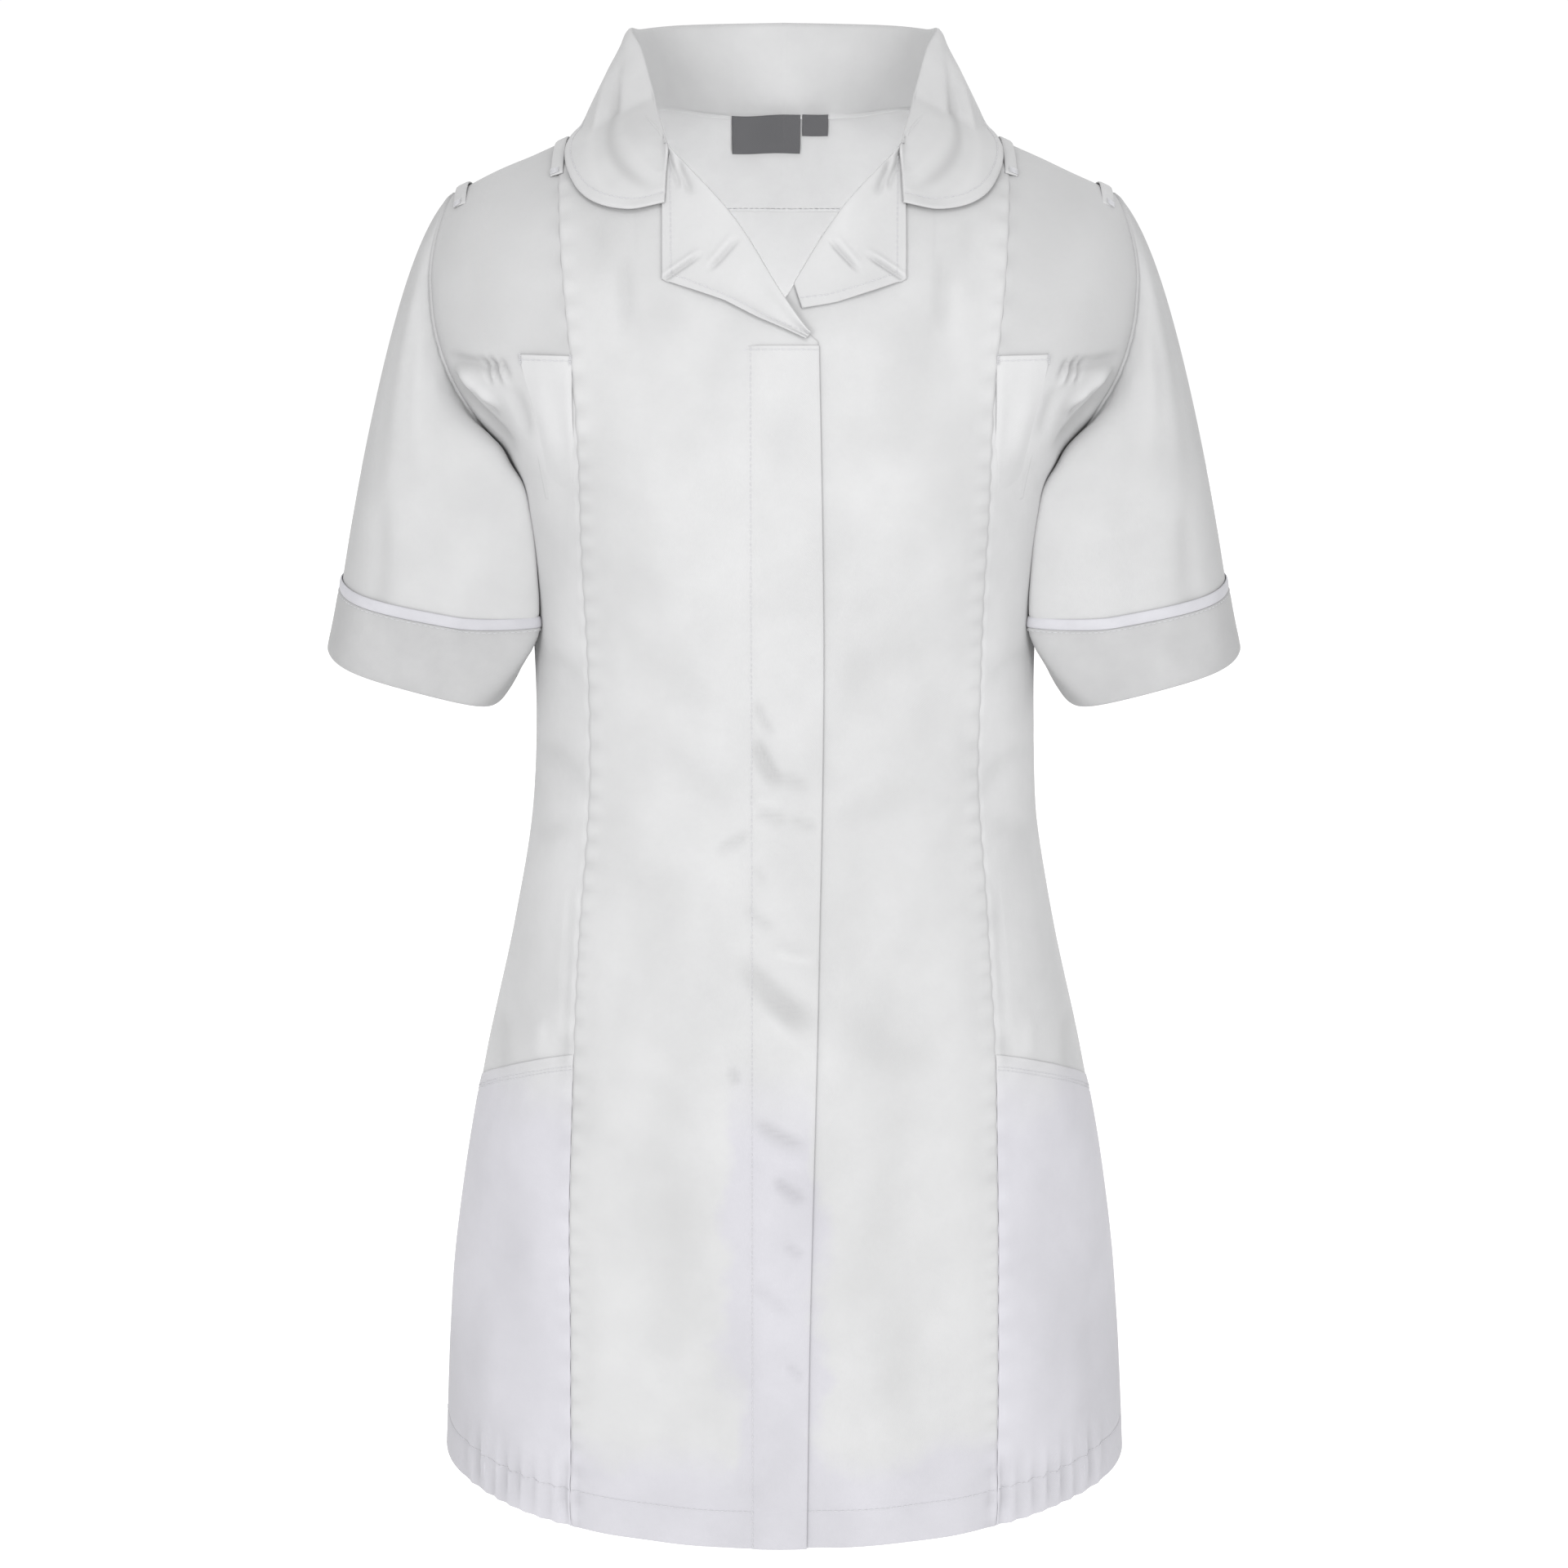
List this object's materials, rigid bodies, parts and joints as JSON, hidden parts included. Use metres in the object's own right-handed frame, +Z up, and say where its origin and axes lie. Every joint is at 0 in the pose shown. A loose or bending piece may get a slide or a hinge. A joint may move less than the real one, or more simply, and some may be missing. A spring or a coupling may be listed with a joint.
{
  "type": "work tunic",
  "caption": "White short-sleeved healthcare tunic in its worn shape, with lapels, a rounded collar, a covered front fastening, princess seams, cuffs and patch pockets.",
  "frame": {"origin": "midway between the wearer's shoulders, where the shoulders hold the tunic", "axes": "+Z up along the wearer's back, -Y out of the front, -X towards the wearer's right side"},
  "size_m": [0.4852, 0.2836, 0.7864],
  "materials": {
    "tunic_cloth": "matte",
    "piping_trim": "matte",
    "label_tape": "satin",
    "zip_tape": "matte"
  },
  "bodies": {
    "root": {"back_centre": "tunic_cloth", "back_neck_facing": "tunic_cloth", "back_side_left": "tunic_cloth", "back_side_right": "tunic_cloth", "collar": "tunic_cloth", "cuff_left": "tunic_cloth", "cuff_right": "tunic_cloth", "front_centre_left": "tunic_cloth", "front_centre_right": "tunic_cloth", "front_zip": "zip_tape", "hip_pocket_left": "tunic_cloth", "hip_pocket_right": "tunic_cloth", "lapel_left": "tunic_cloth", "lapel_right": "tunic_cloth", "neck_label": "label_tape", "pen_pocket_left": "tunic_cloth", "pen_pocket_right": "tunic_cloth", "piping_left": "piping_trim", "piping_right": "piping_trim", "placket": "tunic_cloth", "shoulder_loop_inner_left": "tunic_cloth", "shoulder_loop_inner_right": "tunic_cloth", "shoulder_loop_outer_left": "tunic_cloth", "shoulder_loop_outer_right": "tunic_cloth", "side_front_left": "tunic_cloth", "side_front_right": "tunic_cloth", "size_label": "label_tape", "sleeve_left": "tunic_cloth", "sleeve_right": "tunic_cloth"}
  },
  "joints": []
}
